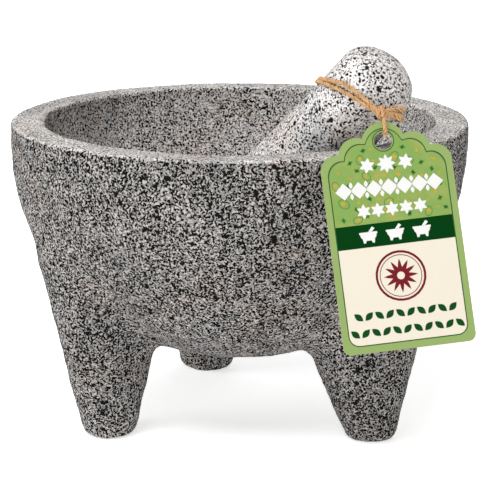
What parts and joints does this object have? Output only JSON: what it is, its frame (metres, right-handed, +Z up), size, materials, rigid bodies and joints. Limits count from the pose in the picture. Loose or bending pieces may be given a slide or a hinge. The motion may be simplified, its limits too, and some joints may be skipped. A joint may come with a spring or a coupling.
{
  "type": "molcajete",
  "caption": "Round stone mortar on three short legs with a loose tapered stone pestle resting in the bowl and a scalloped card tag tied to it with twine.",
  "frame": {"origin": "on the ground under the bowl's axis", "axes": "+Z up along the bowl's axis, -Y the front where the tag hangs, +X to the right of the front"},
  "size_m": [0.2032, 0.2242, 0.1776],
  "materials": {
    "mortar_stone": "rough, pitted",
    "pestle_stone": "smooth, pitted",
    "twine": "fibrous",
    "card": "matt, printed"
  },
  "bodies": {
    "mortar": {"mortar": "mortar_stone"},
    "pestle": {"pestle": "pestle_stone", "twine_neck_loop_upper": "twine", "twine_neck_loop_lower": "twine", "twine_knot": "twine"},
    "tag": {"twine_tag_loop": "twine", "hang_tag": "card"}
  },
  "joints": [
    {"name": "pestle_lift", "type": "slide", "parent": "mortar", "child": "pestle", "axis": [0, 0, 1], "range_m": [0, 0.1]},
    {"name": "tag_swing", "type": "hinge", "parent": "pestle", "child": "tag", "pos_m": [0.05581, -0.09036, 0.15409], "axis": [-0.9925, -0.0417, -0.1145], "range_deg": [0, 70]}
  ]
}
